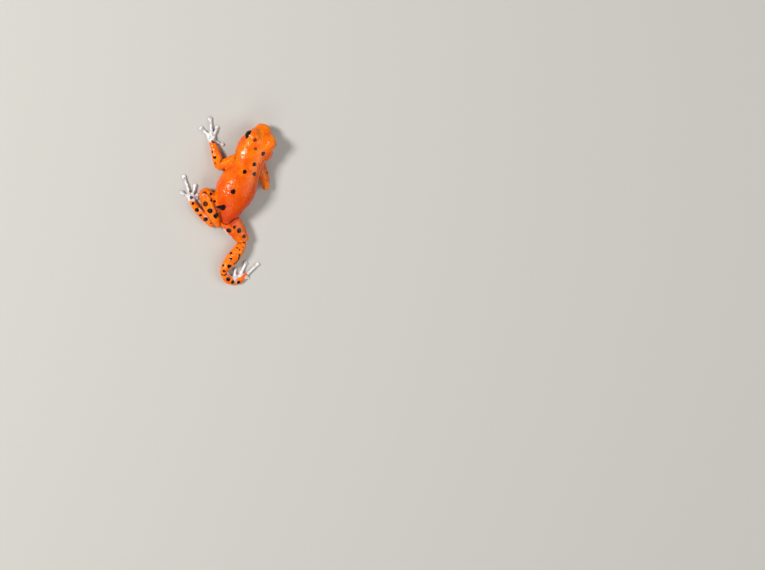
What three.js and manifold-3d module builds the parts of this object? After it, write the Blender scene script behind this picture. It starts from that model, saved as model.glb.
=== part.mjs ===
// A strawberry poison dart frog at life size, clinging low with its right hind leg stretched back.
// Millimetres, +Z up. The snout points along -Y and the frog's left side along +X. The floor is z = 0.
// The origin is the middle of the flat on which the belly rests.
import * as THREE from "three";
import { mergeVertices } from "three/addons/utils/BufferGeometryUtils.js";
import Module from "manifold-3d";

const wasm = await Module();
wasm.setup();

// Driving dimensions
const snoutVent = 20; // from the tip of the snout to the vent
const gap = 0.3; // between two neighbouring pieces
const eyeGap = 0.22; // between an eyeball and its socket
const bellyAhead = 7; // the origin's place, ahead of the vent
const bellyLeft = 1; // and to the left of it
const eyeRadius = 1.04;
const eyeApart = 2.12; // from the middle of the head to the middle of an eye
const eyeAhead = 16.98;
const eyeHeight = 3.5;
const fingerHalf = 0.3; // half the thickness of a finger or toe
const padHalf = 0.47; // half the width of the disc on its tip
const padThick = 0.3; // and half its thickness
const neckAhead = 13.3; // where the head parts from the torso

// Colours of the pieces
const skinOrange = { color: 0xf0560f, roughness: 0.35, metalness: 0 };
const skinPale = { color: 0xe9e6e4, roughness: 0.4, metalness: 0 };
const eyeBlack = { color: 0x0b0908, roughness: 0.08, metalness: 0 };

// A place measured from the vent: to the frog's left, ahead of the vent, and up from the floor
const at = (left, ahead, up) => new THREE.Vector3(left - bellyLeft, bellyAhead - ahead, up);

// A manifold-3d solid of a closed three.js geometry
function solid(geometry) {
  const bare = geometry.clone();
  bare.deleteAttribute("normal");
  bare.deleteAttribute("uv");
  const merged = mergeVertices(bare, 1e-4);
  return new wasm.Manifold(
    new wasm.Mesh({
      numProp: 3,
      vertProperties: new Float32Array(merged.attributes.position.array),
      triVerts: new Uint32Array(merged.index.array),
    }),
  );
}

// A named mesh of the largest closed surface in a solid
function meshOf(name, made, finish) {
  const largest = made.decompose().sort((a, b) => b.volume() - a.volume())[0];
  const data = largest.getMesh();
  const geometry = new THREE.BufferGeometry();
  geometry.setAttribute("position", new THREE.BufferAttribute(new Float32Array(data.vertProperties), 3));
  geometry.setIndex(new THREE.BufferAttribute(new Uint32Array(data.triVerts), 1));
  geometry.computeVertexNormals();
  const mesh = new THREE.Mesh(geometry, new THREE.MeshStandardMaterial(finish));
  mesh.name = name;
  return mesh;
}

// A closed skin over oval rings carried along a curve. A station has its centre, its half width to the side,
// and its height over and under the centre. Both ends are rounded off. grow makes the form larger all round.
function loft(stations, { around, steps, round = 3, startCap = 0.6, endCap = 0.6, power = 2, grow = 0 }) {
  const centres = new THREE.CatmullRomCurve3(stations.map((s) => s.centre), false, "catmullrom", 0.5);
  const girths = new THREE.CatmullRomCurve3(
    stations.map((s) => new THREE.Vector3(s.side, s.over, s.under)),
    false,
    "catmullrom",
    0.5,
  );
  const rings = [];
  const addRing = (centre, forward, girth, share) => {
    const side = new THREE.Vector3(0, 0, 1).cross(forward).normalize();
    const lift = forward.clone().cross(side).normalize();
    const ring = [];
    for (let k = 0; k < around; k++) {
      const angle = (2 * Math.PI * k) / around;
      const bend = (v) => Math.sign(v) * Math.abs(v) ** (2 / power);
      const height = Math.sin(angle) > 0 ? girth.y : girth.z;
      ring.push(
        centre
          .clone()
          .addScaledVector(side, bend(Math.cos(angle)) * (girth.x + grow) * share)
          .addScaledVector(lift, bend(Math.sin(angle)) * (height + grow) * share),
      );
    }
    rings.push(ring);
  };
  const ends = [0, 1].map((t) => ({
    centre: centres.getPoint(t),
    forward: centres.getTangent(t),
    girth: girths.getPoint(t),
  }));
  const capRing = ({ centre, forward, girth }, reach, turn) =>
    addRing(centre.clone().addScaledVector(forward, reach * Math.sin(turn)), forward, girth, Math.cos(turn));
  for (let j = round - 1; j > 0; j--) capRing(ends[0], -(startCap + grow), (Math.PI / 2) * (j / round));
  for (let i = 0; i <= steps; i++) {
    const t = i / steps;
    addRing(centres.getPoint(t), centres.getTangent(t), girths.getPoint(t), 1);
  }
  for (let j = 1; j < round; j++) capRing(ends[1], endCap + grow, (Math.PI / 2) * (j / round));
  const poles = [
    ends[0].centre.clone().addScaledVector(ends[0].forward, -(startCap + grow)),
    ends[1].centre.clone().addScaledVector(ends[1].forward, endCap + grow),
  ];
  const points = [...rings.flat(), ...poles];
  const index = [];
  for (let r = 0; r + 1 < rings.length; r++)
    for (let k = 0; k < around; k++) {
      const a = r * around + k;
      const b = r * around + ((k + 1) % around);
      index.push(a, b, a + around, b, b + around, a + around);
    }
  const last = (rings.length - 1) * around;
  const start = rings.length * around;
  for (let k = 0; k < around; k++) {
    const next = (k + 1) % around;
    index.push(start, next, k, start + 1, last + k, last + next);
  }
  const geometry = new THREE.BufferGeometry().setFromPoints(points);
  geometry.setIndex(index);
  return solid(geometry);
}

// An oval ball of three half sizes about a centre. Its faces are counted round it, and from pole to pole.
const net = { form: [16, 12], small: [10, 8], socket: [18, 12], eye: [20, 14], pad: [8, 6] };

function ball(centre, [halfX, halfY, halfZ], faces) {
  const geometry = new THREE.SphereGeometry(1, ...faces);
  geometry.scale(halfX, halfY, halfZ);
  geometry.translate(centre.x, centre.y, centre.z);
  return solid(geometry);
}

// A block of three sizes about a centre, turned about the vertical
function block(centre, size, turn = 0) {
  const geometry = new THREE.BoxGeometry(...size);
  geometry.rotateZ(turn);
  geometry.translate(centre.x, centre.y, centre.z);
  return solid(geometry);
}

const join = (pieces) => pieces.reduce((a, b) => a.add(b));
const floorSide = 80;
const floorDepth = 10;
const floor = block(new THREE.Vector3(0, 0, -floorDepth / 2), [floorSide, floorSide, floorDepth]);

// Head and torso in one form. Each row is in shares of snoutVent: how far ahead of the vent, how far left the
// middle lies, half the width, and the heights of the back, the belly and the widest line.
const bodyRows = [
  [0.022, 0.014, 0.045, 0.152, 0.066, 0.11],
  [0.07, 0.021, 0.083, 0.19, 0.042, 0.112],
  [0.13, 0.03, 0.12, 0.226, 0.022, 0.117],
  [0.215, 0.042, 0.16, 0.262, 0.004, 0.12],
  [0.31, 0.048, 0.186, 0.285, -0.006, 0.122],
  [0.4, 0.043, 0.181, 0.29, -0.005, 0.125],
  [0.49, 0.034, 0.158, 0.278, 0.006, 0.127],
  [0.57, 0.03, 0.14, 0.262, 0.022, 0.13],
  [0.64, 0.03, 0.146, 0.25, 0.042, 0.13],
  [0.71, 0.031, 0.159, 0.244, 0.058, 0.129],
  [0.78, 0.01, 0.173, 0.24, 0.063, 0.126],
  [0.85, 0.01, 0.146, 0.224, 0.067, 0.124],
  [0.915, 0.006, 0.102, 0.198, 0.074, 0.122],
  [0.965, 0.011, 0.069, 0.17, 0.085, 0.12],
];
const bodyStations = bodyRows.map(([ahead, left, half, back, belly, widest]) => ({
  centre: at(left * snoutVent, ahead * snoutVent, widest * snoutVent),
  side: half * snoutVent,
  over: (back - widest) * snoutVent,
  under: (widest - belly) * snoutVent,
}));
const headMiddle = 0.013 * snoutVent; // how far left of the vent the middle of the head lies
const bodyForm = (grow) =>
  loft(bodyStations, { around: 28, steps: 32, round: 4, startCap: 0.5, endCap: 0.72, power: 2.15, grow });

// The mouth is a slit that runs round the jaw a little way in, cut by a block wider and longer than the jaw
const mouth = { cornerAhead: 15.1, height: 2.02, slit: 0.16, depth: 0.25, cutWidth: 12, cutLength: 8 };
const nostril = { middle: headMiddle, apart: 0.72, ahead: 19.35, height: 2.98, half: [0.15, 0.2, 0.15] };
// An eardrum is a low disc on the cheek, set about the middle of the body there, which lies further left
const eardrum = { middle: 0.019 * snoutVent, apart: 3.1, ahead: 15, height: 2.75, half: [0.32, 0.75, 0.75] };
// Forms set about each eye, inward and up from it: the mound round it, and its upper lid
const eyeMound = { inward: 0.45, up: 0.1, half: [1.3, 1.6, 1.45] };
const upperLid = { inward: 0.36, up: 0.5, half: [1.22, 1.38, 1.08] };
const leftAndRight = [1, -1];
const evenly = (half) => [half, half, half];
const eyePlace = (side, inward = 0, up = 0) =>
  at(headMiddle + side * (eyeApart - inward), eyeAhead, eyeHeight + up);

function buildHead(form) {
  const aboutEyes = ({ inward, up, half }) =>
    leftAndRight.map((side) => ball(eyePlace(side, inward, up), half, net.form));
  const onFace = ({ middle, apart, ahead, height, half }) =>
    leftAndRight.map((side) => ball(at(middle + side * apart, ahead, height), half, net.small));
  const sockets = leftAndRight.map((side) => ball(eyePlace(side), evenly(eyeRadius + eyeGap), net.socket));
  const slit = block(
    at(headMiddle, mouth.cornerAhead + mouth.cutLength / 2, mouth.height),
    [mouth.cutWidth, mouth.cutLength, mouth.slit],
  ).subtract(bodyForm(-mouth.depth));
  const raised = [...aboutEyes(eyeMound), ...aboutEyes(upperLid), ...onFace(eardrum)];
  return join([form, ...raised]).subtract(join([...sockets, ...onFace(nostril), slit]));
}

const eyeBall = (side) => ball(eyePlace(side), evenly(eyeRadius), net.eye);

// Limbs: the joints are measured from the vent, and each row after a joint is its half width and half height
const row = (left, ahead, up, side, high) => ({ centre: at(left, ahead, up), side, over: high, under: high });

const arms = {
  left: {
    lengths: {
      upper_arm: [
        row(2.2, 12.7, 2.1, 1.05, 1.0),
        row(3.6, 11.35, 1.75, 0.95, 0.9),
        row(5.17, 9.6, 1.2, 0.84, 0.78),
      ],
      forearm: [
        row(5.3, 9.65, 1.05, 0.78, 0.7),
        row(6.15, 10.95, 1.05, 0.92, 0.78),
        row(7.15, 12.3, 0.85, 0.74, 0.62),
        row(8.02, 13.3, 0.65, 0.56, 0.46),
      ],
    },
    palm: [
      row(8.1, 13.4, 0.5, 0.56, 0.42),
      row(8.42, 14.05, 0.44, 0.86, 0.46),
      row(8.66, 14.6, 0.34, 0.76, 0.34),
    ],
    digits: [
      [[8.05, 13.95], [7.0, 13.65], [5.78, 13.6]],
      [[8.3, 14.35], [8.0, 15.2], [7.98, 16.1]],
      [[8.6, 14.5], [9.05, 15.7], [9.85, 17.2]],
      [[8.85, 14.2], [9.7, 14.5], [10.75, 14.9]],
    ],
  },
  right: {
    lengths: {
      upper_arm: [
        row(-1.6, 12.4, 2.1, 0.95, 0.95),
        row(-3.4, 10.8, 1.9, 0.86, 0.86),
        row(-4.9, 9.2, 1.3, 0.74, 0.72),
      ],
      forearm: [
        row(-4.9, 9.35, 1.0, 0.66, 0.62),
        row(-4.3, 10.7, 0.9, 0.84, 0.7),
        row(-3.4, 12.1, 0.7, 0.7, 0.54),
        row(-2.8, 13.2, 0.52, 0.52, 0.42),
      ],
    },
    palm: [
      row(-2.75, 13.3, 0.44, 0.5, 0.4),
      row(-2.35, 13.95, 0.38, 0.78, 0.4),
      row(-2.05, 14.5, 0.32, 0.7, 0.34),
    ],
    digits: [
      [[-2.0, 13.9], [-1.2, 14.3], [-0.4, 14.5]],
      [[-1.9, 14.3], [-1.4, 15.2], [-0.95, 16.0]],
      [[-2.1, 14.4], [-2.0, 15.6], [-1.95, 16.95]],
      [[-2.4, 14.2], [-2.75, 15.1], [-3.05, 16.1]],
    ],
  },
};

// The folded left shank lies over the thigh, so it comes first and keeps its full form
const legs = {
  left: {
    lengths: {
      shank: [
        row(6.25, 3.6, 2.1, 0.95, 1.05),
        row(5.2, 2.58, 2.3, 1.18, 1.2),
        row(3.43, 1.17, 2.1, 1.15, 1.14),
        row(1.95, -0.05, 1.7, 0.8, 0.85),
        row(1.25, -0.75, 1.35, 0.48, 0.6),
      ],
      thigh: [
        row(1.3, 2.0, 2.0, 1.35, 1.3),
        row(2.9, 2.55, 1.95, 1.4, 1.3),
        row(4.7, 3.35, 1.85, 1.25, 1.2),
        row(6.3, 4.1, 1.75, 1.12, 1.1),
      ],
      tarsus: [
        row(2.35, -0.95, 0.88, 0.64, 0.6),
        row(4.05, -0.22, 0.9, 0.77, 0.66),
        row(5.95, 0.62, 0.8, 0.68, 0.6),
        row(7.15, 1.48, 0.62, 0.6, 0.48),
      ],
    },
    sole: [
      row(7.3, 1.72, 0.47, 0.56, 0.44),
      row(7.75, 2.2, 0.42, 0.7, 0.42),
      row(8.15, 2.7, 0.34, 0.62, 0.34),
    ],
    digits: [
      [[7.4, 2.1], [6.95, 2.3], [6.5, 2.5]],
      [[7.6, 2.3], [7.15, 2.75], [6.75, 3.15]],
      [[7.85, 2.6], [7.7, 3.6], [7.85, 4.6]],
      [[8.2, 2.5], [9.1, 3.8], [10.5, 5.4]],
      [[8.05, 2.1], [8.8, 2.25], [9.75, 2.6]],
    ],
  },
  right: {
    lengths: {
      thigh: [
        row(0.6, 1.8, 1.9, 1.6, 1.35),
        row(-0.75, 0.65, 1.8, 1.95, 1.4),
        row(-2.7, -0.5, 1.65, 1.66, 1.35),
        row(-4.45, -1.6, 1.4, 1.2, 1.15),
      ],
      shank: [
        row(-4.62, -2.35, 1.4, 0.92, 0.98),
        row(-4.25, -4.1, 1.5, 1.14, 1.14),
        row(-3.82, -5.7, 1.4, 1.2, 1.12),
        row(-3.25, -7.9, 1.0, 0.86, 0.84),
      ],
      tarsus: [
        row(-3.3, -8.45, 0.85, 0.74, 0.7),
        row(-4.25, -9.25, 0.8, 0.82, 0.7),
        row(-5.15, -9.55, 0.74, 0.8, 0.66),
        row(-5.9, -9.45, 0.64, 0.76, 0.56),
      ],
    },
    sole: [
      row(-6.0, -9.35, 0.5, 0.74, 0.48),
      row(-7.0, -8.72, 0.46, 0.84, 0.46),
      row(-8.15, -7.6, 0.36, 0.6, 0.36),
    ],
    digits: [
      [[-6.5, -8.9], [-6.05, -8.75], [-5.7, -8.6]],
      [[-6.1, -8.8], [-5.65, -8.1], [-5.56, -7.44]],
      [[-6.8, -8.3], [-6.95, -7.1], [-7.1, -5.6]],
      [[-7.9, -7.8], [-8.7, -6.35], [-9.45, -4.95]],
      [[-7.6, -8.3], [-8.2, -8.25], [-8.75, -8.0]],
    ],
  },
};

// A stretch of limb
const limbForm = (rows, grow = 0, ends = {}) => loft(rows, { around: 12, steps: 8, grow, ...ends });

// A finger or toe: a thin round rod that lies on the floor, with a disc on its tip
function digit(points) {
  const archHeights = [0.36, 0.38, 0.28];
  const padHeight = 0.22;
  const rod = loft(
    points.map(([left, ahead], i) => row(left, ahead, archHeights[i], fingerHalf, fingerHalf)),
    { around: 6, steps: 4, round: 2, startCap: 0.2, endCap: 0.15 },
  );
  const [left, ahead] = points[points.length - 1];
  return rod.add(ball(at(left, ahead, padHeight), [padHalf, padHalf, padThick], net.pad));
}

const handForm = (palm, digits) =>
  join([limbForm(palm, 0, { startCap: 0.3, endCap: 0.3, steps: 6 }), ...digits.map(digit)]);

// The forms are cut back in turn, so that each keeps its gap to the ones before it
const frog = new THREE.Group();
const place = (name, form, clearOf, finish) => {
  const cut = clearOf.reduce((a, b) => a.subtract(b), form.subtract(floor));
  frog.add(meshOf(name, cut, finish));
};

// The neck is cut a little askew, as the head is turned
const neckTurn = 0.06;
const neckReach = 20;
const neckCut = (middle, length) => block(at(0, middle, 0), [2 * neckReach, length, 2 * neckReach], neckTurn);
const neckSlab = neckCut(neckAhead, gap);
const aheadOfNeck = neckCut(neckAhead + neckReach / 2, neckReach);
const behindNeck = neckCut(neckAhead - neckReach / 2, neckReach);
const body = bodyForm(0);
const grownBody = bodyForm(gap);
const head = buildHead(body);
place("head", head.subtract(behindNeck), [neckSlab], skinOrange);
place("torso", body.subtract(aheadOfNeck), [neckSlab], skinOrange);
place("left_eye", eyeBall(1), [], eyeBlack);
place("right_eye", eyeBall(-1), [], eyeBlack);

// Each length of a limb is cut clear of those before it on both sides, and the hand or foot clear of them all
function placeLimb(side, lengths, end, endForm, before) {
  for (const [name, rows] of Object.entries(lengths)) {
    place(`${side}_${name}`, limbForm(rows), before, skinOrange);
    before.push(limbForm(rows, gap));
  }
  place(`${side}_${end}`, endForm, before, skinPale);
}

const beforeArms = [grownBody];
const beforeLegs = [grownBody];
for (const side of ["left", "right"]) {
  placeLimb(side, arms[side].lengths, "hand", handForm(arms[side].palm, arms[side].digits), beforeArms);
  placeLimb(side, legs[side].lengths, "foot", handForm(legs[side].sole, legs[side].digits), beforeLegs);
}

export default frog;
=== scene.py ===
# Looks of a strawberry poison dart frog: one moist, granular skin over the solids, and two wet black eyes.
import math
import bpy
import bmesh
import numpy as np
from mathutils import Matrix, Vector
from mathutils.bvhtree import BVHTree


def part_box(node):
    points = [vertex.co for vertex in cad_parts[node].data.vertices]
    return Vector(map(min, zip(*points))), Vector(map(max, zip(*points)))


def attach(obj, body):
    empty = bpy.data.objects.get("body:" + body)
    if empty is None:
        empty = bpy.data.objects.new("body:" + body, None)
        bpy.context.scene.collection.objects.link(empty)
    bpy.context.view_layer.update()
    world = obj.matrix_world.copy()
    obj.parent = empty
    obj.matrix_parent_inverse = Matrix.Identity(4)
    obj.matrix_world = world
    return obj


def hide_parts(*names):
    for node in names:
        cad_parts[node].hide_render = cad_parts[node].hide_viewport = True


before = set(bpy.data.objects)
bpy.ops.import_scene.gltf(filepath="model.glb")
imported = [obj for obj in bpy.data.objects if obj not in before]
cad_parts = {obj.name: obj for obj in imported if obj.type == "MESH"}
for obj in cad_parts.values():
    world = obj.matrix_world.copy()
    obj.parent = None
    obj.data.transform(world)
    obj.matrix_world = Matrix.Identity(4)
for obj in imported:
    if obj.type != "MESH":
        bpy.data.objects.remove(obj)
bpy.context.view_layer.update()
mm = 0.001
snoutVent = 20.0  # mm, from the tip of the snout to the vent, which scales every form below
bellyAhead = 7.0  # the origin lies this far ahead of the vent
bellyLeft = 1.0  # and this far to the left of it
bothSides = (1, -1)  # the frog's left and its right


def at(left, ahead, up):
    # A place measured from the vent: left, ahead and up, in mm, turned to the row's own axes
    return np.array([left - bellyLeft, bellyAhead - ahead, up])


def ramp(low, high, value):
    # 0 below low, 1 above high, and an S curve between them
    share = np.clip((value - low) / (high - low), 0, 1)
    return share * share * (3 - 2 * share)


def bell(value, half):
    # 1 at 0, falling off smoothly on both sides within a few times half
    return np.exp(-((value / half) ** 2))


def unit(vector):
    return vector / np.linalg.norm(vector)


def units(vectors):
    return vectors / np.linalg.norm(vectors, axis=1)[:, None]


def dots(a, b):
    return np.einsum("ij,ij->i", a, b)


def addObject(name, data):
    item = bpy.data.objects.new(name, data)
    bpy.context.collection.objects.link(item)
    return item


# The photograph's view: the frog leans in the picture and shows a little of its left side
view = {
    "frame": (765, 570),  # px
    "lens": 100.0,  # mm
    "sensor": 36.0,  # mm
    "pixelsPerMm": 5.375,
    "ventPixel": (226.5, 224.5),
    "ventUp": 2.2,  # mm
    "tilt": 20.0,  # degrees, towards the frog's left side
    "lean": 21.3,  # degrees, the head to the right
    "aim": (1.0, 8.0, 2.8),  # the place in mid body that is put on its own pixel
    "clipStart": 0.01,  # m
}


def photoView():
    # The camera's place, its turn and its focal length in pixels, so that the vent falls on ventPixel
    tilt, lean = math.radians(view["tilt"]), math.radians(view["lean"])
    across = np.array([-math.cos(tilt), 0, math.sin(tilt)])
    along = np.array([0, -1.0, 0])
    towards = np.array([math.sin(tilt), 0, math.cos(tilt)])
    right = math.cos(lean) * across + math.sin(lean) * along
    up = -math.sin(lean) * across + math.cos(lean) * along
    wide, high = view["frame"]
    focal = wide * view["lens"] / view["sensor"]
    aim = at(*view["aim"])
    offset = aim - at(0, 0, view["ventUp"])
    pixel = np.array(view["ventPixel"]) + view["pixelsPerMm"] * np.array([offset @ right, -(offset @ up)])
    ray = unit(np.array([(pixel[0] - wide / 2) / focal, -(pixel[1] - high / 2) / focal, -1.0]))
    rayUp = unit(np.array([0, 1.0, 0]) - ray * ray[1])
    inCamera = np.column_stack([np.cross(rayUp, -ray), rayUp, -ray])
    turn = np.column_stack([right, up, towards]) @ inCamera.T
    distance = focal / view["pixelsPerMm"] / -ray[2]
    return aim + towards * distance, turn, focal


eyePoint, eyeTurn, focalPixels = photoView()


def sightLine(x, y):
    # The direction in which the camera sees a pixel
    wide, high = view["frame"]
    return unit(eyeTurn @ np.array([(x - wide / 2) / focalPixels, -(y - high / 2) / focalPixels, -1.0]))


def addCamera():
    data = bpy.data.cameras.new("camera")
    data.lens = view["lens"]
    data.sensor_width = view["sensor"]
    data.clip_start = view["clipStart"]
    camera = addObject("camera", data)
    camera.matrix_world = Matrix.Translation(Vector(eyePoint * mm)) @ Matrix(eyeTurn.tolist()).to_4x4()
    bpy.context.scene.camera = camera


addCamera()
print("camera placed")


def throughRows(rows, count):
    # A Catmull-Rom curve through every row, cut into count equal steps
    rows = np.asarray(rows, float)
    padded = np.vstack([2 * rows[0] - rows[1], rows, 2 * rows[-1] - rows[-2]])
    place = np.linspace(0, len(rows) - 1, count + 1)
    span = np.minimum(place.astype(int), len(rows) - 2)
    t = (place - span)[:, None]
    a, b, c, d = (padded[span + k] for k in range(4))
    return 0.5 * (2 * b + (c - a) * t + (2 * a - 5 * b + 4 * c - d) * t**2 + (3 * b - a - 3 * c + d) * t**3)


def closedGrid(rings, start, end):
    # Faces between neighbouring rings, and a fan from each end ring to its pole
    count, around = rings.shape[:2]
    points = np.vstack([rings.reshape(-1, 3), start, end])
    corner = np.arange(count * around).reshape(count, around)
    beside = np.roll(corner, -1, axis=1)
    quads = np.stack([corner[:-1], beside[:-1], beside[1:], corner[1:]], axis=-1).reshape(-1, 4)
    poles = np.full(around, count * around)
    startFan = np.stack([poles, beside[0], corner[0]], axis=-1)
    endFan = np.stack([poles + 1, corner[-1], beside[-1]], axis=-1)
    return points, quads.tolist() + startFan.tolist() + endFan.tolist()


def carryProfile(rows, around=28, steps=40, caps=(0.6, 0.6), power=2.0, capRings=8):
    # Point (u, v) = centre(u) + side(u) * cos(v)^(2/power) + lift(u) * sin(v)^(2/power), with rounded ends.
    # A row is a centre, a half width, and the heights over and under the centre.
    rows = throughRows(rows, steps)
    forward = units(np.gradient(rows[:, :3], axis=0))
    turns = np.linspace(0, math.pi / 2, capRings + 1)[1:-1]
    ahead = np.concatenate([-np.sin(turns[::-1]) * caps[0], np.zeros(steps + 1), np.sin(turns) * caps[1]])
    share = np.concatenate([np.cos(turns[::-1]), np.ones(steps + 1), np.cos(turns)])
    pick = np.concatenate([np.zeros(capRings - 1, int), np.arange(steps + 1), np.full(capRings - 1, steps)])
    rows, forward = rows[pick], forward[pick]
    side = units(np.cross([0, 0, 1], forward))
    lift = np.cross(forward, side)
    angle = np.linspace(0, 2 * math.pi, around, endpoint=False)
    bend = lambda v: np.sign(v) * np.abs(v) ** (2 / power)
    height = np.where(np.sin(angle) > 0, rows[:, 4:5], rows[:, 5:6])
    centre = rows[:, :3] + forward * ahead[:, None]
    rings = (
        centre[:, None]
        + side[:, None] * (bend(np.cos(angle)) * rows[:, 3:4] * share[:, None])[..., None]
        + lift[:, None] * (bend(np.sin(angle)) * height * share[:, None])[..., None]
    )
    start = rows[0, :3] - forward[0] * caps[0]
    end = rows[-1, :3] + forward[-1] * caps[1]
    return closedGrid(rings, start, end)


def ovalBall(centre, half, around=40, rows=24):
    # Point (u, v) = centre + half sizes * (sin u cos v, sin u sin v, cos u)
    polar = np.linspace(0, math.pi, rows + 1)[1:-1]
    angle = np.linspace(0, 2 * math.pi, around, endpoint=False)
    ring = np.stack(
        [
            np.sin(polar)[:, None] * np.cos(angle),
            np.sin(polar)[:, None] * np.sin(angle),
            np.repeat(np.cos(polar)[:, None], around, axis=1),
        ],
        axis=-1,
    )[::-1]
    half = np.asarray(half, float)
    return closedGrid(centre + ring * half, centre - [0, 0, half[2]], centre + [0, 0, half[2]])


# In shares of snoutVent: ahead of the vent, left, half width, and the heights of back, belly and widest line
body = {
    "rows": [
        (0.022, 0.014, 0.045, 0.152, 0.066, 0.11),
        (0.07, 0.021, 0.083, 0.19, 0.042, 0.112),
        (0.13, 0.03, 0.12, 0.226, 0.022, 0.117),
        (0.215, 0.042, 0.16, 0.262, 0.004, 0.12),
        (0.31, 0.048, 0.186, 0.285, -0.006, 0.122),
        (0.4, 0.043, 0.181, 0.29, -0.005, 0.125),
        (0.49, 0.034, 0.158, 0.278, 0.006, 0.127),
        (0.57, 0.03, 0.14, 0.262, 0.022, 0.13),
        (0.64, 0.03, 0.146, 0.25, 0.042, 0.13),
        (0.71, 0.031, 0.159, 0.244, 0.058, 0.129),
        (0.78, 0.01, 0.173, 0.24, 0.063, 0.126),
        (0.85, 0.01, 0.146, 0.224, 0.067, 0.124),
        (0.915, 0.006, 0.102, 0.198, 0.074, 0.122),
        (0.965, 0.011, 0.069, 0.17, 0.085, 0.12),
    ],
    "caps": (0.5, 0.72),  # mm that the rounded ends reach past the last rows
    "power": 2.15,  # 2 is an oval, and more is squarer
    "around": 96,
    "steps": 160,
    "capRings": 12,
}

# Each limb row: left, ahead and up from the vent, half width and half height, all in mm
limbs = {
    "leftUpperArm": [
        (2.2, 12.7, 2.1, 1.05, 1.0), (3.6, 11.35, 1.75, 0.95, 0.9), (5.17, 9.6, 1.2, 0.84, 0.78),
    ],
    "leftForearm": [
        (5.3, 9.65, 1.05, 0.78, 0.7), (6.15, 10.95, 1.05, 0.92, 0.78), (7.15, 12.3, 0.85, 0.74, 0.62),
        (8.02, 13.3, 0.65, 0.56, 0.46),
    ],
    "rightUpperArm": [
        (-1.6, 12.4, 2.1, 0.95, 0.95), (-3.4, 10.8, 1.9, 0.86, 0.86), (-4.9, 9.2, 1.3, 0.74, 0.72),
    ],
    "rightForearm": [
        (-4.9, 9.35, 1.0, 0.66, 0.62), (-4.3, 10.7, 0.9, 0.84, 0.7), (-3.4, 12.1, 0.7, 0.7, 0.54),
        (-2.8, 13.2, 0.52, 0.52, 0.42),
    ],
    "leftThigh": [
        (1.3, 2.0, 2.0, 1.35, 1.3), (2.9, 2.55, 1.95, 1.4, 1.3), (4.7, 3.35, 1.85, 1.25, 1.2),
        (6.3, 4.1, 1.75, 1.12, 1.1),
    ],
    "leftShank": [
        (6.25, 3.6, 2.1, 0.95, 1.05), (5.2, 2.58, 2.3, 1.18, 1.2), (3.43, 1.17, 2.1, 1.15, 1.14),
        (1.95, -0.05, 1.7, 0.8, 0.85), (1.25, -0.75, 1.35, 0.48, 0.6),
    ],
    "leftTarsus": [
        (2.35, -0.95, 0.88, 0.64, 0.6), (4.05, -0.22, 0.9, 0.77, 0.66), (5.95, 0.62, 0.8, 0.68, 0.6),
        (7.15, 1.48, 0.62, 0.6, 0.48),
    ],
    "rightThigh": [
        (0.6, 1.8, 1.9, 1.6, 1.35), (-0.75, 0.65, 1.8, 1.95, 1.4), (-2.7, -0.5, 1.65, 1.66, 1.35),
        (-4.45, -1.6, 1.4, 1.2, 1.15),
    ],
    "rightShank": [
        (-4.62, -2.35, 1.4, 0.92, 0.98), (-4.25, -4.1, 1.5, 1.14, 1.14), (-3.82, -5.7, 1.4, 1.2, 1.12),
        (-3.25, -7.9, 1.0, 0.86, 0.84),
    ],
    "rightTarsus": [
        (-3.3, -8.45, 0.85, 0.74, 0.7), (-4.25, -9.25, 0.8, 0.82, 0.7), (-5.15, -9.6, 0.74, 0.86, 0.66),
        (-5.9, -9.5, 0.64, 0.84, 0.56),
    ],
}

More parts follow.
